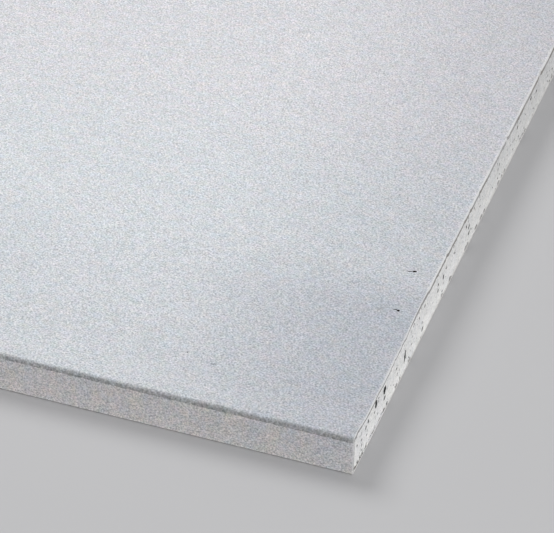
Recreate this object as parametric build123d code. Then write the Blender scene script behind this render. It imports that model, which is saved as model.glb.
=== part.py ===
import os

from build123d import *

# A tapered-edge drywall sheet lying on its back, in millimetres.
# A gypsum core is wrapped in face paper, which turns round both long edges and onto the back.
# The back paper is laid last and laps over those two flaps.
# +X runs along the length, +Y across the width, and +Z up, out of the face.
# The origin is the middle of the back paper's underside, which is what the sheet lies on.

# Overall size
SHEET_LENGTH = 2400.0
SHEET_WIDTH = 1200.0
SHEET_THICKNESS = 12.5

# Papers
PAPER_THICKNESS = 0.4
FLAP_WIDTH = 25.0  # face paper turned onto the back, measured from the long edge
BACK_PAPER_INSET = 12.0  # from the long edge to the side of the back paper

# Long edges
TAPER_WIDTH = 60.0  # from the long edge to where the face starts to fall
TAPER_DEPTH = 1.75  # how far the foot of the slope lies below the face
RIM_DEPTH = 1.3  # how far the rim lies below the face, a little proud of that foot
RIM_WIDTH = 4.0  # level strip beside the edge
RIM_SLOPE_WIDTH = 6.0  # from the level strip down to the foot of the slope
TAPER_BLEND_RADIUS = 150.0  # the face bends this gently into the slope
RIM_BLEND_RADIUS = 25.0  # and this gently at the foot of the slope and at the rim
FACE_FOLD_RADIUS = 1.3  # outside of the paper, where the rim turns down the edge
BACK_FOLD_RADIUS = 0.8  # outside of the paper, where the edge turns onto the back

# Places that follow from those sizes
LONG_EDGE = SHEET_WIDTH / 2
RIM_HEIGHT = SHEET_THICKNESS - RIM_DEPTH
FOOT = LONG_EDGE - RIM_WIDTH - RIM_SLOPE_WIDTH
FOOT_HEIGHT = SHEET_THICKNESS - TAPER_DEPTH
FLAP_UNDERSIDE = PAPER_THICKNESS


def wrapped_section():
    """The core in its face paper, cut across the length: each corner and how round it is."""
    right_side = [
        ((LONG_EDGE, FLAP_UNDERSIDE), BACK_FOLD_RADIUS),
        ((LONG_EDGE, RIM_HEIGHT), FACE_FOLD_RADIUS),
        ((LONG_EDGE - RIM_WIDTH, RIM_HEIGHT), RIM_BLEND_RADIUS),
        ((FOOT, FOOT_HEIGHT), RIM_BLEND_RADIUS),
        ((LONG_EDGE - TAPER_WIDTH, SHEET_THICKNESS), TAPER_BLEND_RADIUS),
    ]
    left_side = [((-across, height), radius) for (across, height), radius in reversed(right_side)]
    corners, radii = zip(*right_side, *left_side)
    return make_face(FilletPolyline(*corners, radius=radii, close=True))


def core_section(wrapped):
    """What the face paper leaves for the gypsum, which fills the space between the flaps too."""
    inside_paper = offset(wrapped, -PAPER_THICKNESS, kind=Kind.INTERSECTION)
    between_flaps = Pos(0, FLAP_UNDERSIDE) * Rectangle(
        SHEET_WIDTH - 2 * FLAP_WIDTH, 2 * PAPER_THICKNESS, align=(Align.CENTER, Align.MIN)
    )
    return inside_paper + between_flaps


def back_paper_section():
    """One flat strip, narrower than the sheet, lapping over both flaps."""
    return Rectangle(
        SHEET_WIDTH - 2 * BACK_PAPER_INSET, PAPER_THICKNESS, align=(Align.CENTER, Align.MIN)
    )


def run_along_length(section):
    """The sheet is made as an endless strip and cut square, so each piece is its section run out."""
    return extrude(Plane.YZ * section, SHEET_LENGTH / 2, both=True)


wrapped = wrapped_section()
core = core_section(wrapped)

pieces = {
    "gypsum_core": run_along_length(core),
    "face_paper": run_along_length(wrapped - core),
    "back_paper": run_along_length(back_paper_section()),
}

os.makedirs("parts", exist_ok=True)
for node, piece in pieces.items():
    export_step(piece, f"parts/{node}.step")
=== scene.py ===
import math

import bmesh
import bpy
import numpy as np
from mathutils import Matrix, Vector


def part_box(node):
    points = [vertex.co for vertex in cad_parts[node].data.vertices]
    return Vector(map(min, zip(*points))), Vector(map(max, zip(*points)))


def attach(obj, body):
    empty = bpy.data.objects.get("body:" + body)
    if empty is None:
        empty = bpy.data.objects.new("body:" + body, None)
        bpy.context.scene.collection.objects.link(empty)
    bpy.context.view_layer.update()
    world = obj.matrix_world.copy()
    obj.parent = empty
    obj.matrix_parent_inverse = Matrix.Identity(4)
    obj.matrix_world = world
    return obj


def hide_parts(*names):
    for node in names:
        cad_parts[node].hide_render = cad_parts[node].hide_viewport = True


# The looks of a tapered-edge drywall sheet, built around its solids.
# Lengths are in metres, and most are written as a number of millimetres.

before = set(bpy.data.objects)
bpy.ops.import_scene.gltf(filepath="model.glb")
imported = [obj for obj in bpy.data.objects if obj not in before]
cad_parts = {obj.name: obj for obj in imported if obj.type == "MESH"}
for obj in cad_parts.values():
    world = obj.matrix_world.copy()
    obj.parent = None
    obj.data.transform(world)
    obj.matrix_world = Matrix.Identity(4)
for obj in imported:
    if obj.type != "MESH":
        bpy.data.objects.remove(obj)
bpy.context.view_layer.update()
MM = 0.001

# Places read from the solids
FACE_LOW, FACE_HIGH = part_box("face_paper")
CORE_LOW, CORE_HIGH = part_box("gypsum_core")
BACK_LOW, BACK_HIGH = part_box("back_paper")
LONG_EDGE = FACE_HIGH.y
END = FACE_HIGH.x
TOP = FACE_HIGH.z
PAPER = FACE_HIGH.z - CORE_HIGH.z
FLAP_UNDERSIDE = FACE_LOW.z

# The long edge, as the solids have it
TAPER_WIDTH = 60 * MM
TAPER_DEPTH = 1.75 * MM
RIM_DEPTH = 1.3 * MM
RIM_WIDTH = 4 * MM
RIM_SLOPE_WIDTH = 6 * MM
TAPER_BLEND_RADIUS = 150 * MM
RIM_BLEND_RADIUS = 25 * MM
FACE_FOLD_RADIUS = 1.3 * MM
FLAP_WIDTH = 25 * MM
RIM_HEIGHT = TOP - RIM_DEPTH
FOOT = LONG_EDGE - RIM_WIDTH - RIM_SLOPE_WIDTH
FOOT_HEIGHT = TOP - TAPER_DEPTH
CREASE_HEIGHT = RIM_HEIGHT - FACE_FOLD_RADIUS

# What the solids leave out: beside the back paper the flap steps down, flush with that paper's underside
FLAP_STEP = 0.6 * MM
FLAP_BEND_RADIUS = 0.25 * MM
FLUSH_HEIGHT = 0.03 * MM
BACK_FOLD_RADIUS = 0.5 * MM  # tighter than on the solids, because the flap lies lower

# The paper lies this far inside its solid, which leaves room for what stands proud of it
SURFACE_DROP = 0.03 * MM

# Relief of the paper on the long edges: faint waves, and the scored fold with its rough bottom
EDGE_WAVE_DEPTH = 0.06 * MM
SCORE_DEPTH = 0.09 * MM
SCORE_ROUGHNESS = 0.06 * MM

# The stretch beside the near corner that the photograph shows, which gets the finest mesh
SEEN_LENGTH = 110 * MM
SEEN_WIDTH = 195 * MM

# The frame of the photograph, and its camera
FRAME_WIDTH = 554
FRAME_HEIGHT = 533
CAMERA_AZIMUTH = 19.99
CAMERA_ELEVATION = 37.92
FOCAL_PIXELS = 2600
CORNER_PIXEL = (352.67, 475.45)
CORNER_DISTANCE = 617.57 * MM
SENSOR_WIDTH = 36.0


# Smooth random relief

# Large odd numbers that mix up a cell's place and seed, within 32 bits
MIX_ACROSS = 374761393
MIX_ALONG = 668265263
MIX_SEED = 2246822519
MIX_AGAIN = 1274126177
LOW_BITS = 0xFFFFFFFF
HALF_RANGE = 32767.5


def lattice(i, j, seed):
    """A fixed random number from -1 to 1 for each cell of an endless grid."""
    mixed = (i * MIX_ACROSS + j * MIX_ALONG + seed * MIX_SEED) & LOW_BITS
    mixed = ((mixed ^ (mixed >> 13)) * MIX_AGAIN) & LOW_BITS
    return ((mixed ^ (mixed >> 16)) & 0xFFFF) / HALF_RANGE - 1


def field(across, along, wavelength, seed):
    """Smooth noise over a surface, from -1 to 1."""
    u, v = np.broadcast_arrays(np.asarray(across) / wavelength, np.asarray(along) / wavelength)
    i, j = np.floor(u).astype(np.int64), np.floor(v).astype(np.int64)
    s, t = u - i, v - j
    s, t = s * s * (3 - 2 * s), t * t * (3 - 2 * t)
    near = lattice(i, j, seed) * (1 - s) + lattice(i + 1, j, seed) * s
    far = lattice(i, j + 1, seed) * (1 - s) + lattice(i + 1, j + 1, seed) * s
    return near * (1 - t) + far * t


def wobble(places, wavelength, seed):
    """Smooth noise along a line, from -1 to 1."""
    return field(places, 0.0, wavelength, seed)


def ramp(values, start, end):
    """0 before start and 1 after end, smooth between."""
    share = np.clip((np.asarray(values) - start) / (end - start), 0, 1)
    return share * share * (3 - 2 * share)


# The section of the wrapped sheet as straight runs and arcs, in the plane of width and height

def rounded_path(corners):
    """Runs and arcs through corners given as (width, height, radius). The first and last stay sharp.

    Each piece is (kind, start, heading, length, turn)."""
    points = [np.array(corner[:2]) for corner in corners]
    radii = [corner[2] for corner in corners[1:]]
    pieces = []
    start = points[0]
    for before, here, after, radius in zip(points, points[1:], points[2:], radii):
        arrive = (here - before) / np.linalg.norm(here - before)
        leave = (after - here) / np.linalg.norm(after - here)
        turn = math.atan2(arrive[0] * leave[1] - arrive[1] * leave[0], arrive @ leave)
        reach = radius * math.tan(abs(turn) / 2)
        pieces.append(("run", start, arrive, np.linalg.norm(here - arrive * reach - start), 0.0))
        pieces.append(("arc", here - arrive * reach, arrive, radius * abs(turn), turn))
        start = here + leave * reach
    rest = np.linalg.norm(points[-1] - start)
    pieces.append(("run", start, (points[-1] - start) / rest, rest, 0.0))
    return pieces


def section_corners():
    """The outside of the face paper, from one flap's free side over the face to the other's."""
    right = [
        (LONG_EDGE - FLAP_WIDTH, FLAP_UNDERSIDE, 0),
        (BACK_HIGH.y, FLAP_UNDERSIDE, FLAP_BEND_RADIUS),
        (BACK_HIGH.y + FLAP_STEP, FLUSH_HEIGHT, FLAP_BEND_RADIUS),
        (LONG_EDGE, FLUSH_HEIGHT, BACK_FOLD_RADIUS),
        (LONG_EDGE, RIM_HEIGHT, FACE_FOLD_RADIUS),
        (LONG_EDGE - RIM_WIDTH, RIM_HEIGHT, RIM_BLEND_RADIUS),
        (FOOT, FOOT_HEIGHT, RIM_BLEND_RADIUS),
        (LONG_EDGE - TAPER_WIDTH, TOP, TAPER_BLEND_RADIUS),
    ]
    return right + [(-y, z, radius) for y, z, radius in reversed(right)]


PATH = rounded_path(section_corners())
PATH_STARTS = np.concatenate([[0], np.cumsum([piece[3] for piece in PATH])])
PATH_LENGTH = PATH_STARTS[-1]

# Distances along the section of its main places, from a flap's free side.
# The back fold is the third arc of the path, and the fold at the crease is the fourth.
S_BACK_FOLD, S_EDGE_FACE, S_CREASE, S_FOLD_TOP = PATH_STARTS[5:9]
S_ON_FACE = S_FOLD_TOP + FACE_FOLD_RADIUS


def on_path(places):
    """Point (width, height) and outward normal at each distance along the section."""
    places = np.clip(places, 0, PATH_LENGTH)
    points = np.zeros((len(places), 2))
    normals = np.zeros((len(places), 2))
    which = np.clip(np.searchsorted(PATH_STARTS, places, side="right") - 1, 0, len(PATH) - 1)
    for k, (kind, start, heading, length, turn) in enumerate(PATH):
        inside = which == k
        gone = places[inside] - PATH_STARTS[k]
        side = np.array([heading[1], -heading[0]])
        if kind == "run":
            points[inside] = start + gone[:, None] * heading
            normals[inside] = side
        else:
            radius = length / abs(turn)
            angle = gone / length * turn
            points[inside] = start + radius * (
                np.sin(abs(angle))[:, None] * heading
                - np.sign(turn) * (1 - np.cos(angle))[:, None] * side
            )
            normals[inside] = np.cos(angle)[:, None] * side + np.sin(angle)[:, None] * heading
    return points, normals


def from_near_side(places):
    """Distance along the section from the nearer flap's free side."""
    return np.minimum(places, PATH_LENGTH - places)


def paper_inset(places, along):
    """How far the face paper lies inside its nominal surface."""
    near = from_near_side(places)
    side = np.where(places > PATH_LENGTH / 2, 1, 0)

    on_edge = ramp(near, S_BACK_FOLD, S_EDGE_FACE + 1 * MM)
    past_edge = ramp(near, S_CREASE + 3 * MM, S_CREASE + 6 * MM)
    waves = 0.5 + 0.5 * field(near, along + 7 * side, 9 * MM, 11)
    slow = 0.5 + 0.5 * wobble(along + 5 * side, 34 * MM, 12)
    waved = on_edge * (1 - past_edge) * EDGE_WAVE_DEPTH * waves * slow

    in_score = ramp(near, S_CREASE - 0.02 * MM, S_CREASE + 0.05 * MM)
    past_score = ramp(near, S_CREASE + 0.9 * MM, S_FOLD_TOP)
    rough = 0.5 + 0.5 * field(near, along + 3 * side, 1.6 * MM, 13)
    scored = in_score * (1 - past_score) * (SCORE_DEPTH + SCORE_ROUGHNESS * rough)
    return SURFACE_DROP + waved + scored


# Meshes from rows of points

SAME_PLACE = 1e-7  # places closer than this count as one
SHARP_TURN = 50  # edges that turn by more degrees than this stay sharp


class Shell:
    """Collects rows of points, and the faces between them, into one mesh."""

    def __init__(self):
        self.points = []
        self.faces = []
        self.count = 0

    def row(self, points):
        first = self.count
        self.points.append(np.asarray(points, float))
        self.count += len(points)
        return np.arange(first, self.count)

    def face(self, corners):
        self.faces.append(np.array([corners]))

    def between(self, a, b):
        """Quads between two rows of the same length."""
        self.faces.append(np.stack([a[:-1], a[1:], b[1:], b[:-1]], 1))

    def skin(self, rows):
        """Quads between each row and the next."""
        for a, b in zip(rows, rows[1:]):
            self.between(a, b)

    def tube(self, rings):
        """A closed skin over rings of points, with a face at each end."""
        self.skin([np.append(ring, ring[0]) for ring in rings])
        self.face(rings[0])
        self.face(rings[-1])

    def zip(self, a, places_a, b, places_b):
        """Triangles between two rows of different lengths, by where their points lie."""
        triangles = []
        i = j = 0
        while i < len(a) - 1 or j < len(b) - 1:
            if j == len(b) - 1 or (i < len(a) - 1 and places_a[i + 1] <= places_b[j + 1]):
                triangles.append((a[i], a[i + 1], b[j]))
                i += 1
            else:
                triangles.append((a[i], b[j + 1], b[j]))
                j += 1
        self.faces.append(np.array(triangles))

    def finish_end(self, first, last, places, rows, row_places):
        """Skins the rows round a cut end, and joins the first and the last to two rows of the body."""
        self.skin(rows)
        self.zip(first, places, rows[0], row_places)
        self.zip(last, places, rows[-1], row_places)
        for k in (0, -1):
            self.face([first[k], *[row[k] for row in rows], last[k]])

    def build(self, name, attributes=None, crease=None):
        """One smooth mesh object. Edges that turn by more than crease, in degrees, stay sharp."""
        sizes = np.concatenate([np.full(len(group), group.shape[1]) for group in self.faces])
        corners = np.concatenate([group.ravel() for group in self.faces])
        mesh = bpy.data.meshes.new(name)
        mesh.vertices.add(self.count)
        mesh.vertices.foreach_set("co", np.concatenate(self.points).ravel())
        mesh.loops.add(len(corners))
        mesh.loops.foreach_set("vertex_index", corners.astype(np.int32))
        mesh.polygons.add(len(sizes))
        mesh.polygons.foreach_set("loop_start", (np.cumsum(sizes) - sizes).astype(np.int32))
        mesh.update(calc_edges=True)
        for key, values in (attributes or {}).items():
            layer = mesh.attributes.new(key, "FLOAT", "POINT")
            layer.data.foreach_set("value", np.asarray(values, np.float32))
        tidy = bmesh.new()
        tidy.from_mesh(mesh)
        bmesh.ops.recalc_face_normals(tidy, faces=tidy.faces)
        tidy.to_mesh(mesh)
        tidy.free()
        mesh.shade_smooth()
        if crease:
            mesh.set_sharp_from_angle(angle=math.radians(crease))
        piece = bpy.data.objects.new(name, mesh)
        bpy.context.scene.collection.objects.link(piece)
        return piece


def spaced(start, end, step):
    """Places from start to end, about step apart."""
    return np.linspace(start, end, max(2, int(round((end - start) / step)) + 1))


def joined(*stretches):
    """Several stretches of places, end to end, with no place twice."""
    places = np.concatenate(stretches)
    keep = np.concatenate([[True], np.diff(places) > SAME_PLACE])
    return places[keep]


# Face paper: a long body, and a fine lip at each cut end

# How far from the cut the lip and the body end
LIP_REACH = 0.9 * MM
BODY_REACH = 1.8 * MM

# How many parts the body has in each run of the section, from a flap's free side to the face,
# and in each arc. An arc that turns by more than LEAST_FOLD, in radians, is a fold.
RUN_PARTS = (3, 1, 3, 10, 5, 5, 5, 12)
FOLD_PARTS = 11
BEND_PARTS = 4
LEAST_FOLD = 0.5

# The body's steps along the length: beside the far end, in the middle and beside the near end
BODY_STEPS = (4 * MM, 40 * MM, 1 * MM)


def body_places():
    """Where the body has points along the section: close together in the folds, wide apart on the face."""
    places = []
    for k, (kind, _, _, _, turn) in enumerate(PATH):
        if kind == "run":
            parts = RUN_PARTS[min(k, len(PATH) - 1 - k) // 2]
        else:
            parts = FOLD_PARTS if abs(turn) > LEAST_FOLD else BEND_PARTS
        places.append(np.linspace(PATH_STARTS[k], PATH_STARTS[k + 1], parts + 1))
    beside_crease = S_CREASE + 0.06 * MM
    creases = [beside_crease, PATH_LENGTH - beside_crease]
    return joined(np.sort(np.concatenate([*places, creases])))


def body_stations():
    """Where the body has points along the length: close together where the photograph shows it."""
    borders = (-END + BODY_REACH, -END + SEEN_LENGTH, END - SEEN_LENGTH, END - BODY_REACH)
    return joined(*[spaced(*stretch) for stretch in zip(borders, borders[1:], BODY_STEPS)])


def lip_places(fine, coarse):
    """Where a lip has points along the section: finer towards both long edges."""
    return joined(
        spaced(0, SEEN_WIDTH, fine),
        spaced(SEEN_WIDTH, PATH_LENGTH - SEEN_WIDTH, coarse),
        spaced(PATH_LENGTH - SEEN_WIDTH, PATH_LENGTH, fine),
    )


def paper_point(places, along, inward=0.0):
    """Points of the paper's outside, or as far inward from it as is asked."""
    flat, normals = on_path(places)
    flat = flat - normals * (paper_inset(places, along) + inward)[:, None]
    return np.column_stack([along, flat])


def inner_point(places, along):
    """Points of the paper's inside, which lies on the core."""
    flat, normals = on_path(places)
    flat = flat - normals * PAPER
    return np.column_stack([along, flat])


# How far the paper curls up along the cut, in millimetres, against the distance onto the face:
# most at the rim, and again in a blister near the top of the slope
CURL_PLACES = (0, 1.5, 4.5, 9, 12, 30, 38, 42, 46, 52, 57)
CURL_HEIGHTS = (0.45, 0.3, -0.12, -0.28, -0.32, -0.34, -0.3, 0, 0.36, 0.22, 0)


def lip_lift(places, seed, share):
    """How far the lip stands up at each place, with that share of the full curl."""
    near = from_near_side(places) - S_ON_FACE
    curl = share * np.interp(near / MM, CURL_PLACES, CURL_HEIGHTS)
    ripple = wobble(places, 6 * MM, seed)
    return MM * ramp(near, -0.5 * MM, 1 * MM) * (curl + 0.04 * ripple)


# The torn lip along the cut, in millimetres, against its main places: on the flap, low on the edge face,
# at the crease, and then the distance onto the face.
# White crushed fibres come first, then the dark strip: the paper's dark inner ply, and painted shadow
# under the torn lip.
LIP_PLACES = ("flap", "edge", "crease", 0, 4, 20, 38, 42, 47, 55, 58, 100, 150)
WHITE_STRIP = (0.3, 0.35, 0.3, 0.25, 0.45, 0.85, 0.85, 0.4, 0.35, 0.4, 1.0, 1.1, 1.3)
DARK_STRIP = (0.12, 0.5, 0.6, 1.1, 0.6, 0.5, 0.5, 0.6, 1.2, 1.1, 0.95, 1.0, 1.2)


def strip_width(places, seed, widths):
    """How wide a strip of the torn lip is at each place, a little ragged."""
    near = (from_near_side(places) - S_ON_FACE) / MM
    low = {"flap": S_BACK_FOLD, "edge": S_EDGE_FACE + 1 * MM, "crease": S_CREASE}
    at = [(low[place] - S_ON_FACE) / MM if place in low else place for place in LIP_PLACES]
    ragged = 1 + 0.12 * wobble(places, 0.9 * MM, seed) + 0.12 * wobble(places, 3.3 * MM, seed + 1)
    return np.interp(near, at, widths) * ragged * MM


# The lip's rows from the outside round to the inside: how far back from the cut in millimetres, the shares
# of the white strip and of the dark strip that lie above, how white it is, and how much dark ply and
# painted shadow it shows
LIP_PROFILE = (
    (0.35, 0.0, 0.0, 0.0, 0.0),
    (0.15, 0.0, 0.0, 0.5, 0.0),
    (0.02, 0.06, 0.0, 1.0, 0.0),
    (0.0, 0.85, 0.0, 0.95, 0.0),
    (0.0, 1.0, 0.1, 0.0, 1.0),
    (0.0, 1.0, 0.85, 0.0, 1.0),
    (0.015, 1.0, 1.0, 0.0, 1.0),
    (0.45, 1.0, 1.0, 0.0, 1.0),
)


def lip_rows(end, seed, places, curl_share):
    """Rows across the lip from the outside round to the inside, as (points, whiteness, ply)."""
    ragged = 0.5 + 0.5 * wobble(places, 0.8 * MM, seed + 2)
    nicked = ramp(wobble(places, 2.9 * MM, seed + 3), 0.66, 0.9)
    uneven = 0.04 * ragged + 0.2 * nicked
    lift = lip_lift(places, seed, curl_share)
    white_strip = strip_width(places, seed + 4, WHITE_STRIP)
    # The dark strip is the inner ply, and painted shadow under the torn lip
    dark_strip = strip_width(places, seed + 9, DARK_STRIP)
    worn = 0.8 + 0.2 * wobble(places, 4.1 * MM, seed + 6)
    shown = 0.7 + 0.3 * ramp(wobble(places, 7 * MM, seed + 7), -0.5, 0.1)
    on_flap = 1 - ramp(from_near_side(places), S_BACK_FOLD - 1 * MM, S_BACK_FOLD)
    dashes = ramp(wobble(places, 1.7 * MM, seed + 8), 0.2, 0.5)
    shown = shown + on_flap * (dashes - shown)
    pale = 0.9 * on_flap * (1 - dashes)
    crushed = 0.35 + 0.15 * (1 - ramp(from_near_side(places) - S_ON_FACE, 25 * MM, 45 * MM))
    every = np.ones(len(places))
    back = end * (END - LIP_REACH) * every
    rows = [(paper_point(places, back), 0 * every, 0 * every)]
    for behind, white_share, dark_share, white, ply in LIP_PROFILE:
        cut = END - MM * (behind + uneven)
        share = 1 - behind / (LIP_REACH / MM)
        down = white_share * white_strip + dark_share * dark_strip
        point = paper_point(places, end * cut, down - lift * share)
        torn = white * worn * (2 * crushed if white_share == 0 else 1)
        whiteness = np.maximum(np.minimum(torn, 1), pale * (dark_share < 1))
        point[:, 2] = np.minimum(point[:, 2], TOP)
        rows.append((point, whiteness, ply * shown * (1 - on_flap * (dark_share < 0.9))))
    rows.append((inner_point(places, back), 0 * every, every))
    return rows


def face_paper():
    """The body's rows run across the sheet, and the lip's rows join on at both ends."""
    shell = Shell()
    body = body_places()
    stations = body_stations()
    every = np.ones(len(body))
    outer = [shell.row(paper_point(body, x * every)) for x in stations]
    inner = {k: shell.row(inner_point(body, stations[k] * every)) for k in (0, -1)}
    white = [0 * every] * (len(outer) + 2)
    ply = [0 * every] * len(outer) + [every] * 2
    shell.skin(outer)
    shell.between(inner[0], inner[-1])
    for k in (0, -1):
        along = [row[k] for row in outer]
        shell.face([*along, inner[-1][k], inner[0][k]])

    # Each end's side, its seed, the body's row beside it, where its points are, and its share of the curl
    ends = (
        (-1, 40, 0, lip_places(0.6 * MM, 1.6 * MM), 0.3),
        (1, 60, -1, lip_places(0.3 * MM, 1 * MM), 1),
    )
    for end, seed, station, places, curl_share in ends:
        made = []
        for points, whiteness, depth in lip_rows(end, seed, places, curl_share):
            made.append(shell.row(points))
            white.append(whiteness)
            ply.append(depth)
        shell.finish_end(outer[station], inner[station], body, made, places)
    shown = {"whiteness": np.concatenate(white), "ply": np.concatenate(ply)}
    return shell.build("face_paper_wrap", shown, crease=SHARP_TURN)


# Gypsum core: finely meshed cut ends with the air voids open

CORE_RECESS = 0.12 * MM  # the gypsum ends this far behind the papers
DEEPEST_VOID = 3.2 * MM
OUTLINE_SAMPLES = 40000


def outline_heights():
    """The core's underside and top, as heights against the distance from the middle of the sheet."""
    samples = np.linspace(0, PATH_LENGTH / 2, OUTLINE_SAMPLES)
    flat, normals = on_path(samples)
    flat = flat - normals * PAPER
    under = samples < (S_EDGE_FACE + S_CREASE) / 2
    return flat[under], flat[~under][::-1]


UNDERSIDE, UPPERSIDE = outline_heights()


def core_outline(across):
    """Height of the core's underside and top at each place across the width."""
    half = np.abs(across)
    low = np.interp(half, UNDERSIDE[:, 0], UNDERSIDE[:, 1])
    low = np.where(half < LONG_EDGE - FLAP_WIDTH, CORE_LOW.z, low)
    return low, np.interp(half, UPPERSIDE[:, 0], UPPERSIDE[:, 1])


# Voids that show in the photographed end, all in millimetres and radians:
# distance from the long edge, height, half-length, half-height, depth and tilt
SEEN_VOIDS = (
    (24.6, 6.7, 0.95, 1.15, 3.0, 0.0),
    (17.9, 7.7, 0.8, 1.1, 2.6, 0.1),
    (40.9, 4.6, 0.6, 2.0, 1.6, -0.2),
    (24.7, 4.1, 0.6, 0.55, 0.7, 0.0),
    (10.2, 6.6, 0.45, 0.45, 1.0, 0.0),
    (7.1, 7.3, 0.5, 0.7, 0.08, 0.0),
    (7.1, 5.3, 0.4, 0.4, 0.8, 0.0),
    (7.1, 3.5, 0.35, 0.5, 0.7, 0.0),
    (7.5, 1.8, 0.35, 0.35, 0.1, 0.0),
    (12.1, 7.0, 0.4, 0.6, 0.6, 0.0),
    (34.0, 6.0, 0.5, 0.4, 0.7, 0.3),
    (34.8, 3.6, 0.45, 0.45, 0.6, 0.0),
    (55.4, 2.4, 0.6, 0.5, 1.1, 0.2),
    (57.2, 8.5, 0.5, 0.45, 0.9, 0.0),
    (55.3, 4.5, 0.4, 0.4, 0.5, 0.0),
    (68.7, 6.7, 0.45, 0.5, 1.1, 0.0),
    (68.6, 4.7, 0.4, 0.4, 0.6, 0.0),
    (73.2, 5.8, 0.4, 0.8, 1.0, 0.0),
    (73.5, 3.7, 0.4, 0.5, 0.9, 0.0),
    (75.2, 7.6, 0.4, 0.4, 0.5, 0.0),
    (96.0, 5.8, 0.5, 0.6, 1.4, 0.0),
    (96.3, 3.6, 0.5, 0.6, 1.4, 0.0),
    (93.4, 7.3, 0.45, 0.45, 0.9, 0.0),
    (142.5, 7.3, 0.5, 0.5, 1.2, 0.0),
    (156.3, 8.0, 0.6, 0.5, 0.8, 0.0),
    (162.0, 6.9, 0.5, 0.4, 0.7, 0.0),
)
# Nicks where the core has broken away from the flap, as distances from the long edge,
# and then each nick's height, half-length, half-height, depth and tilt
FLAP_NICKS = (4.0, 5.9, 7.6, 10.6, 13.8, 17.2, 22.3, 24.0, 26.6)
FLAP_NICK = (0.85, 0.5, 0.35, 0.8, 0.0)

# The voids that are scattered over each end: how many, and their smallest and largest size in millimetres
SCATTERED_VOIDS = ((90, 0.45, 0.95), (1100, 0.22, 0.42))
SMALL_VOID = 0.36 * MM  # beside the near corner only smaller ones than this are scattered
VOID_RAGGEDNESS = 0.16 * MM


def void_list(end, seed):
    """Each void as centre across, height, half-length, half-height, depth and tilt."""
    rng = np.random.default_rng(seed)
    voids = []
    for count, small, large in SCATTERED_VOIDS:
        for _ in range(count):
            size = rng.uniform(small, large) * MM
            voids.append((
                rng.uniform(-LONG_EDGE + 3 * MM, LONG_EDGE - 3 * MM),
                rng.uniform(1.4 * MM, 11.0 * MM),
                size * rng.uniform(0.8, 1.3),
                size * rng.uniform(0.7, 1.1),
                size * rng.uniform(1.2, 2.4),
                rng.uniform(-0.5, 0.5),
            ))
    if end > 0:
        beside_corner = -LONG_EDGE + SEEN_WIDTH
        voids = [void for void in voids if void[0] > beside_corner or void[2] < SMALL_VOID]
        for place, *sizes, tilt in (*SEEN_VOIDS, *((nick, *FLAP_NICK) for nick in FLAP_NICKS)):
            voids.append((MM * place - LONG_EDGE, *(MM * size for size in sizes), tilt))
    return voids


def pitted(across, heights, voids, seed):
    """Depth of the voids at each grid point of a cut end."""
    depth = np.zeros(heights.shape)
    warp_y = VOID_RAGGEDNESS * field(across[:, None], heights, 0.7 * MM, seed + 1)
    warp_z = VOID_RAGGEDNESS * field(across[:, None], heights, 0.7 * MM, seed + 2)
    for y, z, half_length, half_height, deep, tilt in voids:
        reach = 2 * (half_length + half_height)
        near = np.searchsorted(across, [y - reach, y + reach])
        rows = slice(near[0], near[1])
        du = across[rows, None] + warp_y[rows] - y
        dv = heights[rows] + warp_z[rows] - z
        u = (du * math.cos(tilt) + dv * math.sin(tilt)) / half_length
        v = (dv * math.cos(tilt) - du * math.sin(tilt)) / half_height
        inside = np.clip(1 - u * u - v * v, 0, 1)
        depth[rows] = np.maximum(depth[rows], deep * inside ** 0.3)
    return depth


def cut_face(across, rows, end, seed, voids):
    """Grid of points over part of a cut end, and how deep in millimetres a void is at each of them."""
    low, high = core_outline(across)
    shares = np.linspace(0, 1, rows + 1)
    thick = (high - low)[:, None]
    heights = low[:, None] + thick * shares
    wide = across[:, None]
    depth = pitted(across, heights, voids, seed)

    # The cut is rough all over, crumbled in patches, and broken away in places along the underside
    rough = 0.05 * field(wide, heights, 1.6 * MM, seed + 5)
    rough = rough + 0.035 * field(wide, heights, 0.6 * MM, seed + 6)
    crumbled = 0.5 * ramp(field(wide, heights, 2.6 * MM, seed + 7), 0.35, 0.9)
    crumbled = crumbled * (1 - ramp(thick * (1 - shares), 0.4 * MM, 1.6 * MM))
    broken = ramp(wobble(wide, 1.3 * MM, seed + 8) + 0.5 * wobble(wide, 5 * MM, seed + 9), 0.5, 0.9)
    gap = broken * (1 - ramp(thick * shares, 0.25 * MM, 0.6 * MM))
    depth = np.maximum(depth, 0.7 * MM * gap)
    along = END - CORE_RECESS - np.minimum(depth, DEEPEST_VOID) + MM * (rough - 0.09 - crumbled)
    return end * along, heights, depth / MM


# The grid over each cut end has this step and this many rows, and a finer one near one long edge,
# given as the end's side, its seed, its step and its rows. It closes up where the core rounds off.
REST_STEP = 1.1 * MM
REST_ROWS = 18
FINE_GRIDS = ((-1, 200, 0.8 * MM, 16), (1, 300, 0.21 * MM, 52))
CLOSE_WIDTH = 1 * MM
CLOSE_COLUMNS = 8


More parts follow.
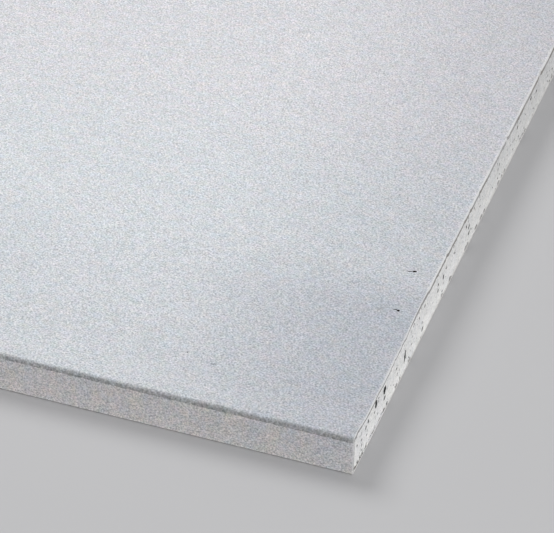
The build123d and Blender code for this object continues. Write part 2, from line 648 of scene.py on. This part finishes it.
def gypsum_core():
    """Two cut ends with their voids, joined by plain long sides."""
    shell = Shell()
    hollow = []
    side = LONG_EDGE - PAPER
    bend = side - CLOSE_WIDTH
    arc = bend + CLOSE_WIDTH * np.sin(np.linspace(0, math.pi / 2, CLOSE_COLUMNS))
    seam = LONG_EDGE - SEEN_WIDTH
    rest = joined(spaced(-seam, bend, REST_STEP), arc)
    borders = {}
    for end, seed, step, rows in FINE_GRIDS:
        voids = void_list(end, seed)
        seen = joined(-arc[::-1], spaced(-bend, -seam, step))
        wide = np.concatenate([seen, rest])
        parts = []
        for across, count in ((seen, rows), (rest, REST_ROWS)):
            along, heights, depth = cut_face(across, count, end, seed, voids)
            grid = np.stack([along, np.broadcast_to(across[:, None], along.shape), heights], 2)
            columns = [shell.row(column) for column in grid]
            hollow.append(depth.ravel())
            shell.skin(columns)
            parts.append((columns, heights))
        (left, left_heights), (right, right_heights) = parts
        shell.zip(left[-1], left_heights[-1], right[0], right_heights[0])
        borders[end] = {
            "low": (np.array([column[0] for column in left + right]), wide),
            "high": (np.array([column[-1] for column in left + right]), wide),
            "left": (left[0], left_heights[0]),
            "right": (right[-1], right_heights[-1]),
        }
    for name in ("low", "high", "left", "right"):
        shell.zip(*borders[-1][name], *borders[1][name])
    return shell.build("gypsum_core_cut", {"hollow": np.concatenate(hollow)}, crease=SHARP_TURN)


# Back paper: a flat strip with torn cut ends

BACK_REACH = 1.2 * MM  # the torn ends start this far behind the cut
BACK_COLUMNS = 13
BACK_STEP = 200 * MM


def back_places(fine, coarse):
    """Where a torn end has points across the strip: finer towards one long edge."""
    half = BACK_HIGH.y
    inner = LONG_EDGE - SEEN_WIDTH
    return joined(spaced(-half, -inner, fine), spaced(-inner, half, coarse))


def torn_rows(across, seed):
    """Rows round a torn end from its underside to its top, as (places along, height, how torn)."""
    ragged = 0.5 + 0.5 * wobble(across, 0.7 * MM, seed)
    torn = ramp(wobble(across, 4.3 * MM, seed + 1), 0.3, 0.9)
    cut = END - MM * (0.01 + 0.16 * ragged * (0.3 + torn))
    start = END - BACK_REACH + 0 * across
    return (
        (start, BACK_LOW.z, 0),
        (cut - 0.25 * MM, BACK_LOW.z, 0),
        (cut - 0.03 * MM, BACK_LOW.z + 0.02 * MM, 1),
        (cut, (BACK_LOW.z + BACK_HIGH.z) / 2, 1),
        (cut - MM * (0.02 + 0.08 * torn), BACK_HIGH.z, 1),
        (start, BACK_HIGH.z, 1),
    )


def back_paper():
    """A plain middle, and finer rows round both torn ends."""
    shell = Shell()
    wide = np.linspace(-BACK_HIGH.y, BACK_HIGH.y, BACK_COLUMNS)
    stations = spaced(-END + 3 * MM, END - 3 * MM, BACK_STEP)
    under = [shell.row([(x, y, BACK_LOW.z) for y in wide]) for x in stations]
    over = [shell.row([(x, y, BACK_HIGH.z) for y in wide]) for x in stations]
    ply = [0 * wide] * len(under) + [0 * wide + 1] * len(over)
    shell.skin(under)
    shell.skin(over)
    for k in (0, -1):
        shell.between(np.array([row[k] for row in under]), np.array([row[k] for row in over]))

    # Each end's side, its seed, the strip's row beside it, and where its points are
    ends = (
        (-1, 500, 0, back_places(1 * MM, 2 * MM)),
        (1, 600, -1, back_places(0.3 * MM, 1 * MM)),
    )
    for end, seed, station, across in ends:
        made = []
        every = np.ones(len(across))
        for along, height, shown in torn_rows(across, seed):
            made.append(shell.row(np.column_stack([end * along, across, height * every])))
            ply.append(shown * every)
        shell.finish_end(under[station], over[station], wide, made, across)
    return shell.build("back_paper_strip", {"ply": np.concatenate(ply)}, crease=SHARP_TURN)


# Small loose things: fibres along the cuts, and flecks in the face

def fibre(shell, start, heading, bend, length, radius, end):
    """One tapering fibre as a thin three-sided tube."""
    across = np.cross(heading, [0, 0, 1])
    across /= np.linalg.norm(across)
    up = np.cross(across, heading)
    rings = []
    for t in np.linspace(0, 1, 4):
        centre = start + heading * length * t + bend * t * t
        centre[0] = end * min(abs(centre[0]), END - radius)
        centre[2] = max(centre[2], FLUSH_HEIGHT)
        thick = radius * (1 - 0.7 * t)
        angles = (0, 2 * math.pi / 3, 4 * math.pi / 3)
        ring = [centre + thick * (math.cos(a) * across + math.sin(a) * up) for a in angles]
        rings.append(shell.row(ring))
    shell.tube(rings)


# Fibres along the cuts: the end's side, how many there are, and how far they reach across the sheet
FIBRE_ROWS = ((-1, 200, 2 * LONG_EDGE), (1, 380, SEEN_WIDTH), (1, 260, 2 * LONG_EDGE))
FIBRE_SEED = 77


def frayed_fibres():
    """Short paper fibres that stand out of the cut arrises, most of them along the underside."""
    rng = np.random.default_rng(FIBRE_SEED)
    shell = Shell()
    for end, count, reach in FIBRE_ROWS:
        across = -LONG_EDGE + rng.uniform(1 * MM, reach - 2 * MM, count)
        tops = core_outline(across)[1]
        for k, (y, top) in enumerate(zip(across, tops)):
            if k % 4 == 0:
                z = top + 0.15 * MM
                length = rng.uniform(0.15, 0.35) * MM
            else:
                z = rng.uniform(0.1, 0.4) * MM + (FLAP_UNDERSIDE if y < -BACK_HIGH.y else 0)
                length = rng.uniform(0.25, 0.8) * MM
            start = np.array([end * (END - length * 0.75 - 0.1 * MM), y, z])
            heading = np.array([end * rng.uniform(0.5, 1), rng.uniform(-1, 1), rng.uniform(-0.3, 0.3)])
            heading /= np.linalg.norm(heading)
            bend = np.array([0, rng.uniform(-1, 1), rng.uniform(-0.5, 0.4)]) * length * 0.5
            fibre(shell, start, heading, bend, length, rng.uniform(0.02, 0.04) * MM, end)
    return shell.build("frayed_fibres")


# Near-black flecks in the face, in millimetres and degrees:
# distance from the cut end and from the long edge, length, width, and the direction of the tail
FACE_FLECKS = (
    (5.5, 64.7, 1.1, 0.7, 20),
    (6.5, 64.4, 1.7, 0.3, 20),
    (4.7, 48.75, 0.8, 0.72, 10),
    (5.6, 48.85, 1.2, 0.26, 4),
    (48.6, 17.0, 0.36, 0.36, 0),
    (40.95, 15.05, 1.8, 0.22, 18),
)
# Each fleck's outline from below the face up: its share of the full size, and its height in millimetres
FLECK_LAYERS = ((1, -0.1), (1, 0.01), (0.7, 0.03))


def dark_flecks():
    """Flat lens shapes that lie in the face, barely proud of it."""
    shell = Shell()
    turn = np.linspace(0, 2 * math.pi, 15)[:-1]
    for back, edge, length, width, direction in FACE_FLECKS:
        angle = math.radians(direction)
        y = -LONG_EDGE + edge * MM
        height = core_outline(np.array([y]))[1][0] + PAPER - SURFACE_DROP
        wave = 1 + 0.12 * np.sin(3 * turn + edge)
        u = length / 2 * MM * np.cos(turn) * wave
        v = width / 2 * MM * np.sin(turn) * wave
        ring = np.column_stack([
            END - back * MM + u * math.cos(angle) - v * math.sin(angle),
            y + u * math.sin(angle) + v * math.cos(angle),
            np.full(len(turn), height),
        ])
        centre = ring.mean(0)
        rows = []
        for share, rise in FLECK_LAYERS:
            rows.append(shell.row(centre + (ring - centre) * share + (0, 0, rise * MM)))
        shell.tube(rows)
    return shell.build("dark_flecks")


# Materials

# Noise is turned out of line with the sheet, so that its cells don't show as bands on flat faces
NOISE_TURN = (0.9, 0.6, 0.4)


class Recipe:
    """A node material, with short ways to add and join its nodes."""

    def __init__(self, name, roughness, specular):
        self.material = bpy.data.materials.new(name)
        self.material.use_nodes = True
        self.tree = self.material.node_tree
        self.shader = self.tree.nodes["Principled BSDF"]
        self.shader.inputs["Roughness"].default_value = roughness
        self.shader.inputs["Specular IOR Level"].default_value = specular
        self.place = self.node("ShaderNodeTexCoord").outputs["Object"]
        parts = self.node("ShaderNodeSeparateXYZ")
        self.feed(parts.inputs[0], self.place)
        self.along, self.across, self.height = parts.outputs

    def node(self, kind, **settings):
        node = self.tree.nodes.new(kind)
        for key, value in settings.items():
            setattr(node, key, value)
        return node

    def feed(self, socket, value):
        if isinstance(value, bpy.types.NodeSocket):
            self.tree.links.new(value, socket)
        elif hasattr(value, "__len__") and len(value) == 3 and socket.type == "RGBA":
            socket.default_value = (*value, 1.0)
        else:
            socket.default_value = value

    def fed(self, node, values):
        """The node's output, once its inputs have those values in turn."""
        for socket, value in zip(node.inputs, values):
            self.feed(socket, value)
        return node.outputs[0]

    def math(self, operation, *values, clamp=False):
        return self.fed(self.node("ShaderNodeMath", operation=operation, use_clamp=clamp), values)

    def vector(self, operation, *values):
        return self.fed(self.node("ShaderNodeVectorMath", operation=operation), values)

    def scaled(self, colour, share):
        node = self.node("ShaderNodeVectorMath", operation="SCALE")
        self.feed(node.inputs[0], colour)
        self.feed(node.inputs["Scale"], share)
        return node.outputs[0]

    def combined(self, *values):
        return self.fed(self.node("ShaderNodeCombineXYZ"), values)

    def noise(self, size, detail=2.0, roughness=0.5, stretch=(1, 1, 1), offset=(0, 0, 0), output="Fac"):
        """Noise whose features are about size metres across, from 0 to 1."""
        mapping = self.node("ShaderNodeMapping")
        self.feed(mapping.inputs["Vector"], self.place)
        mapping.inputs["Location"].default_value = offset
        mapping.inputs["Rotation"].default_value = NOISE_TURN
        mapping.inputs["Scale"].default_value = stretch
        noise = self.node("ShaderNodeTexNoise")
        self.feed(noise.inputs["Vector"], mapping.outputs[0])
        noise.inputs["Scale"].default_value = 1 / size
        noise.inputs["Detail"].default_value = detail
        noise.inputs["Roughness"].default_value = roughness
        return noise.outputs[output]

    def spread(self, value, low, high, to_low=0.0, to_high=1.0, smooth=False):
        """The value from low to high, brought to the range from to_low to to_high."""
        node = self.node("ShaderNodeMapRange", interpolation_type="SMOOTHSTEP" if smooth else "LINEAR")
        node.clamp = True
        names = ("Value", "From Min", "From Max", "To Min", "To Max")
        for name, number in zip(names, (value, low, high, to_low, to_high)):
            self.feed(node.inputs[name], number)
        return node.outputs[0]

    def mix(self, share, a, b, blend="MIX"):
        node = self.node("ShaderNodeMix", data_type="RGBA", blend_type=blend)
        colours = [socket for socket in node.inputs if socket.type == "RGBA"]
        self.feed(node.inputs[0], share)
        self.feed(colours[0], a)
        self.feed(colours[1], b)
        return [socket for socket in node.outputs if socket.type == "RGBA"][0]

    def attribute(self, name):
        return self.node("ShaderNodeAttribute", attribute_name=name).outputs["Fac"]

    def cover(self, share, strength, colour, other):
        """The colour, covered by that strength of the other where share is 1."""
        return self.mix(self.math("MULTIPLY", share, strength), colour, other)

    def bump(self, height, distance, strength):
        node = self.node("ShaderNodeBump")
        self.feed(node.inputs["Height"], height)
        node.inputs["Distance"].default_value = distance
        node.inputs["Strength"].default_value = strength
        return node.outputs[0]

    def finish(self, colour, normal=None):
        self.feed(self.shader.inputs["Base Color"], colour)
        if normal is not None:
            self.feed(self.shader.inputs["Normal"], normal)
        return self.material


def srgb(red, green, blue):
    """A colour given as 0 to 255 on screen."""
    return tuple(((c / 255 + 0.055) / 1.055) ** 2.4 for c in (red, green, blue))


FACE_COLOUR = srgb(210.5, 211, 215.5)
EDGE_COLOUR = srgb(223, 219, 217)
STREAK_COLOUR = srgb(214, 214, 219)
LOWER_EDGE_LIGHT_COLOUR = srgb(248, 247, 246)
FOLD_SCUFF_AND_SHADE_COLOUR = srgb(149, 150, 151)
CRUSHED_COLOUR = srgb(242, 242, 241)
PLY_AND_SHADOW_COLOUR = srgb(132, 127, 121)
GYPSUM_COLOUR = srgb(219, 219, 219)
LOW_LIT_GYPSUM_COLOUR = srgb(233, 233, 232)
PINHOLE_SHADE_COLOUR = srgb(112, 112, 112)
HOLLOW_SHADE_COLOUR = srgb(66, 68, 70)
BACK_COLOUR = srgb(182, 175, 165)
BACK_TORN_FIBRE_AND_LIGHT_COLOUR = srgb(236, 235, 234)
FIBRE_COLOURS = (srgb(206, 202, 197), srgb(234, 233, 231))
FLECK_COLOURS = (srgb(8, 7, 7), srgb(40, 30, 28))

# Grain from fine to coarse: size in millimetres, and how far it moves lightness, red and blue
PAPER_GRAIN = (
    (0.4, 0.98, 0.08, 0.07),
    (0.7, 0.14, 0.05, 0.05),
    (2.0, 0.05, 0.12, 0.11),
    (5.5, 0.06, 0.045, 0.01),
)
GYPSUM_GRAIN = (
    (0.5, 0.44, 0.02, 0.02),
    (1.4, 0.26, 0.04, 0.04),
    (5.0, 0.1, 0.02, 0.04),
)
GRAIN_STRETCH = (0.92, 1.1, 1.0)  # a little longer along the sheet than across it
PAPER_BUMP = 0.12 * MM
GYPSUM_BUMP = 0.4 * MM
PINHOLE_SPACING = 1.5 * MM


def grained(recipe, colour, layers, strength=None):
    """The colour with light and dark grain and pinkish and bluish patches, and the grain itself."""
    total = (0, 0, 0)
    for size, *shares in layers:
        noise = recipe.noise(size * MM, detail=0, stretch=GRAIN_STRETCH, output="Color")
        centred = recipe.vector("SUBTRACT", noise, (0.5, 0.5, 0.5))
        total = recipe.vector("MULTIPLY_ADD", centred, shares, total)
    if strength is not None:
        total = recipe.scaled(total, strength)
    parts = recipe.node("ShaderNodeSeparateXYZ")
    recipe.feed(parts.inputs[0], total)
    light, red, blue = parts.outputs
    warm = recipe.math("ADD", 1.0, recipe.math("MULTIPLY_ADD", light, 0.06, red))
    cool = recipe.math("ADD", 1.0, recipe.math("MULTIPLY_ADD", light, -0.04, blue))
    tinted = recipe.vector("MULTIPLY", colour, recipe.combined(warm, 1.0, cool))
    return recipe.scaled(tinted, recipe.math("ADD", 1.0, light)), light


def fold_scuff_and_shade(recipe, across):
    """A dark rough band in the scored fold, which stops sharply at the crease: partly scuffed paper and
    partly painted shade.
    """
    ragged = recipe.noise(1.0 * MM, 2.0, 0.6, offset=(4, 4, 4))
    wander = recipe.noise(14 * MM, 1.0, 0.5, offset=(6, 0, 6))
    top = recipe.math("ADD", RIM_HEIGHT - 0.1 * MM, recipe.math("MULTIPLY", wander, 0.35 * MM))
    top = recipe.math("ADD", top, recipe.math("MULTIPLY", ragged, 0.2 * MM))
    fading = recipe.spread(recipe.height, recipe.math("SUBTRACT", top, 0.8 * MM), top, 1, 0, smooth=True)
    stop = recipe.math("ADD", CREASE_HEIGHT - 0.16 * MM, recipe.math("MULTIPLY", ragged, 0.22 * MM))
    below = recipe.spread(recipe.height, stop, recipe.math("ADD", stop, 0.16 * MM))
    fold_start = LONG_EDGE - FACE_FOLD_RADIUS
    in_fold = recipe.spread(across, fold_start, fold_start + 0.2 * FACE_FOLD_RADIUS)
    patches = recipe.noise(0.6 * MM, 2.0, 0.6, offset=(8, 3, 5))
    scuff_and_shade = recipe.math("MULTIPLY", recipe.math("MULTIPLY", fading, below), in_fold)
    return recipe.math("MULTIPLY", scuff_and_shade, recipe.spread(patches, 0.4, 0.6, 0.5, 1.0))


def face_colour(recipe, inland, from_cut):
    """The face is bluer towards the long edges, with painted shade on the slopes, more beside the cut
    ends, and a little far inland.
    """
    outer = recipe.spread(inland, TAPER_WIDTH - 12 * MM, TAPER_WIDTH + 2 * MM, 1, 0)
    slope_shade = recipe.math("MULTIPLY", recipe.spread(inland, 5 * MM, 12 * MM, 0, 0.025), outer)
    # Painted shade beside the cut ends, added to the painted shade on the slopes
    cut_end_shade = recipe.spread(from_cut, 0, 70 * MM, 1, 0, smooth=True)
    darker = recipe.math("MULTIPLY_ADD", outer, 0.1, 0.085)
    shade = recipe.math("MULTIPLY_ADD", cut_end_shade, darker, slope_shade)
    # Painted shade: a little darker far inland from the long edges
    colour = recipe.scaled(FACE_COLOUR, recipe.spread(inland, 130 * MM, 230 * MM, 1, 0.96, smooth=True))
    colour = recipe.mix(shade, colour, (0, 0, 0.1))
    beside_edge = recipe.spread(inland, 80 * MM, 140 * MM, 1, 0, smooth=True)
    return recipe.mix(beside_edge, colour, (0.967, 1.0, 1.0), blend="MULTIPLY")


def edge_colour(recipe, from_cut):
    """The edge face is warmer, with faint bluish upright streaks that run together beside the cut ends."""
    streaks = recipe.noise(3.2 * MM, 3.0, 0.6, stretch=(1, 1, 0.15), offset=(1, 1, 9))
    beside_end = recipe.spread(from_cut, 4 * MM, 14 * MM, 0.6, 0)
    cool = recipe.math("ADD", recipe.spread(streaks, 0.38, 0.64), beside_end, clamp=True)
    return recipe.mix(cool, EDGE_COLOUR, STREAK_COLOUR)


def face_paper_material():
    recipe = Recipe("face paper", roughness=0.85, specular=0.25)
    across = recipe.math("ABSOLUTE", recipe.across)
    inland = recipe.math("SUBTRACT", LONG_EDGE, across)
    from_cut = recipe.math("SUBTRACT", END, recipe.math("ABSOLUTE", recipe.along))
    edge = recipe.spread(across, LONG_EDGE - 0.35 * MM, LONG_EDGE - 0.15 * MM)
    colour = recipe.mix(edge, face_colour(recipe, inland, from_cut), edge_colour(recipe, from_cut))

    # Painted light: the edge is lighter in its lower half, against the floor's shade, and lightest where
    # it turns under, which is partly scuffed white paper there
    lower_painted_light = recipe.spread(recipe.height, 1 * MM, 6.5 * MM, 0.35, 0)
    turned_scuff_and_light = recipe.spread(recipe.height, 0.5 * MM, 1.2 * MM, 0.95, 0)
    colour = recipe.mix(recipe.math("MAXIMUM", turned_scuff_and_light, lower_painted_light), colour, LOWER_EDGE_LIGHT_COLOUR)
    # Painted shade in the scored fold, on partly scuffed paper
    colour = recipe.mix(fold_scuff_and_shade(recipe, across), colour, FOLD_SCUFF_AND_SHADE_COLOUR)
    strength = recipe.math("ADD", 1.0, recipe.math("MULTIPLY", edge, 0.12))
    colour, grain = grained(recipe, colour, PAPER_GRAIN, strength)

    # Crushed white fibres along the cut, and the brown-grey ply inside the paper, which also paints the
    # shadow under the torn lip
    colour = recipe.cover(recipe.attribute("whiteness"), 0.85, colour, CRUSHED_COLOUR)
    colour = recipe.cover(recipe.attribute("ply"), 0.87, colour, PLY_AND_SHADOW_COLOUR)
    return recipe.finish(colour, recipe.bump(grain, PAPER_BUMP, 0.3))


def gypsum_material():
    recipe = Recipe("gypsum", roughness=0.95, specular=0.15)

    # Painted light: the cut is lighter low down, against the floor's shade, and lighter towards the long
    # edges than inland
    low = recipe.spread(recipe.height, 0.5 * MM, 7 * MM, 1, 0)
    inland = recipe.math("SUBTRACT", LONG_EDGE, recipe.math("ABSOLUTE", recipe.across))
    painted_edge_light = recipe.spread(inland, 40 * MM, 190 * MM, 1.13, 0.88, smooth=True)
    colour = recipe.scaled(recipe.mix(low, GYPSUM_COLOUR, LOW_LIT_GYPSUM_COLOUR), painted_edge_light)
    colour, grain = grained(recipe, colour, GYPSUM_GRAIN)

    # Painted shade of pinholes too small to be open in the mesh, one in each cell, of different sizes
    cells = recipe.node("ShaderNodeTexVoronoi", voronoi_dimensions="2D")
    recipe.feed(cells.inputs["Vector"], recipe.combined(recipe.across, recipe.height, 0.0))
    cells.inputs["Scale"].default_value = 1 / PINHOLE_SPACING
    radius = recipe.spread(cells.outputs["Color"], 0.35, 0.9, 0.0, 0.2)
    pin = recipe.spread(cells.outputs["Distance"], recipe.math("MULTIPLY", radius, 0.6), radius, 1, 0)
    colour = recipe.cover(pin, 0.6, colour, PINHOLE_SHADE_COLOUR)

    # Shade is painted inside the voids, from a tenth of a millimetre down
    hollow = recipe.spread(recipe.attribute("hollow"), 0.02, 0.13)
    colour = recipe.cover(hollow, 0.97, colour, HOLLOW_SHADE_COLOUR)
    return recipe.finish(colour, recipe.bump(grain, GYPSUM_BUMP, 0.4))


def back_paper_material():
    recipe = Recipe("back paper", roughness=0.88, specular=0.2)
    colour, grain = grained(recipe, BACK_COLOUR, PAPER_GRAIN)
    # The torn ends are pale: whitish torn fibres, with painted light against the floor's shade along the
    # underside
    colour = recipe.cover(recipe.attribute("ply"), 0.85, colour, BACK_TORN_FIBRE_AND_LIGHT_COLOUR)
    return recipe.finish(colour, recipe.bump(grain, PAPER_BUMP, 0.3))


def fibre_material():
    recipe = Recipe("paper fibres", roughness=0.8, specular=0.2)
    tone = recipe.spread(recipe.noise(4 * MM, 1.0), 0.4, 0.6)
    return recipe.finish(recipe.mix(tone, *FIBRE_COLOURS))


def fleck_material():
    recipe = Recipe("dark flecks", roughness=0.8, specular=0.2)
    tone = recipe.noise(0.4 * MM, 1.0)
    return recipe.finish(recipe.mix(tone, *FLECK_COLOURS))


def dress(piece, material, slot, *nodes):
    """Gives a piece its material, and lets it ride on the sheet in place of its solids."""
    piece.data.materials.append(material)
    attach(piece, "root")
    if nodes:
        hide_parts(*nodes)


# Stage: floor, lamps and camera

FLOOR_REACH = 14.0
FLOOR_COLOUR = (0.57, 0.57, 0.58)
SKY_STRENGTH = 0.544
PANEL_SIZE = (2 * END - 60 * MM, 2 * LONG_EDGE - 20 * MM)  # a little smaller than the sheet


def plain_floor():
    mesh = bpy.data.meshes.new("floor")
    corners = [(x * FLOOR_REACH, y * FLOOR_REACH, 0) for x, y in ((-1, -1), (1, -1), (1, 1), (-1, 1))]
    mesh.from_pydata(corners, [], [(0, 1, 2, 3)])
    floor = bpy.data.objects.new("floor", mesh)
    bpy.context.scene.collection.objects.link(floor)
    recipe = Recipe("floor", roughness=0.9, specular=0.1)
    mesh.materials.append(recipe.finish(FLOOR_COLOUR))


def placed_lamp(data, place, target):
    """A lamp that stands at one place and shines at another."""
    lamp = bpy.data.objects.new(data.name, data)
    bpy.context.scene.collection.objects.link(lamp)
    lamp.location = place
    lamp.rotation_mode = "QUATERNION"
    lamp.rotation_quaternion = (Vector(target) - lamp.location).to_track_quat("-Z", "Y")
    return lamp


def soft_panel(name, place, target, size, spread, watts):
    """A rectangular soft lamp of that size. A small spread, in degrees, keeps its light together."""
    data = bpy.data.lights.new(name, "AREA")
    data.shape = "RECTANGLE"
    data.size, data.size_y = size
    data.spread = math.radians(spread)
    data.energy = watts
    placed_lamp(data, place, target).visible_camera = False


def soft_sun(name, place, angle, strength):
    """Even light over everything, from the direction of place. A wider angle, in degrees, is softer."""
    data = bpy.data.lights.new(name, "SUN")
    data.angle = math.radians(angle)
    data.energy = strength
    placed_lamp(data, place, (0, 0, 0))


def surroundings(strength):
    """Even white light from all round."""
    world = bpy.data.worlds.new("soft light")
    bpy.context.scene.world = world
    world.use_nodes = True
    background = world.node_tree.nodes["Background"]
    background.inputs["Color"].default_value = (1, 1, 1, 1)
    background.inputs["Strength"].default_value = strength


def photograph_camera():
    """A camera that puts the near corner of the sheet where the photograph has it."""
    azimuth, elevation = math.radians(CAMERA_AZIMUTH), math.radians(CAMERA_ELEVATION)
    forward = Vector((
        -math.sin(azimuth) * math.cos(elevation),
        math.cos(azimuth) * math.cos(elevation),
        -math.sin(elevation),
    ))
    right = Vector((math.cos(azimuth), math.sin(azimuth), 0))
    up = right.cross(forward)
    corner = Vector((END, -LONG_EDGE, BACK_LOW.z))
    metres_per_pixel = CORNER_DISTANCE / FOCAL_PIXELS
    across = (CORNER_PIXEL[0] - FRAME_WIDTH / 2) * metres_per_pixel
    down = (CORNER_PIXEL[1] - FRAME_HEIGHT / 2) * metres_per_pixel
    data = bpy.data.cameras.new("camera")
    data.sensor_fit = "HORIZONTAL"
    data.sensor_width = SENSOR_WIDTH
    data.lens = FOCAL_PIXELS * SENSOR_WIDTH / FRAME_WIDTH
    data.clip_start = 0.02
    data.clip_end = 60
    camera = bpy.data.objects.new("camera", data)
    bpy.context.scene.collection.objects.link(camera)
    camera.location = corner - forward * CORNER_DISTANCE - right * across + up * down
    camera.rotation_mode = "QUATERNION"
    camera.rotation_quaternion = Matrix((right, up, -forward)).transposed().to_quaternion()
    bpy.context.scene.camera = camera


dress(face_paper(), face_paper_material(), "face_paper", "face_paper")
dress(gypsum_core(), gypsum_material(), "gypsum", "gypsum_core")
dress(back_paper(), back_paper_material(), "back_paper", "back_paper")
dress(frayed_fibres(), fibre_material(), "back_paper")
dress(dark_flecks(), fleck_material(), "face_paper")

plain_floor()
surroundings(SKY_STRENGTH)
soft_sun("key", place=(-2.0, 1.4, 2.6), angle=30, strength=1.22)
soft_sun("side", place=(3.3, -0.3, 1.0), angle=20, strength=1.0)
soft_panel("overhead", place=(0, 0, 1.2), target=(0, 0, 0), size=PANEL_SIZE, spread=7, watts=1.3)
photograph_camera()

bpy.context.scene.view_settings.view_transform = "Standard"
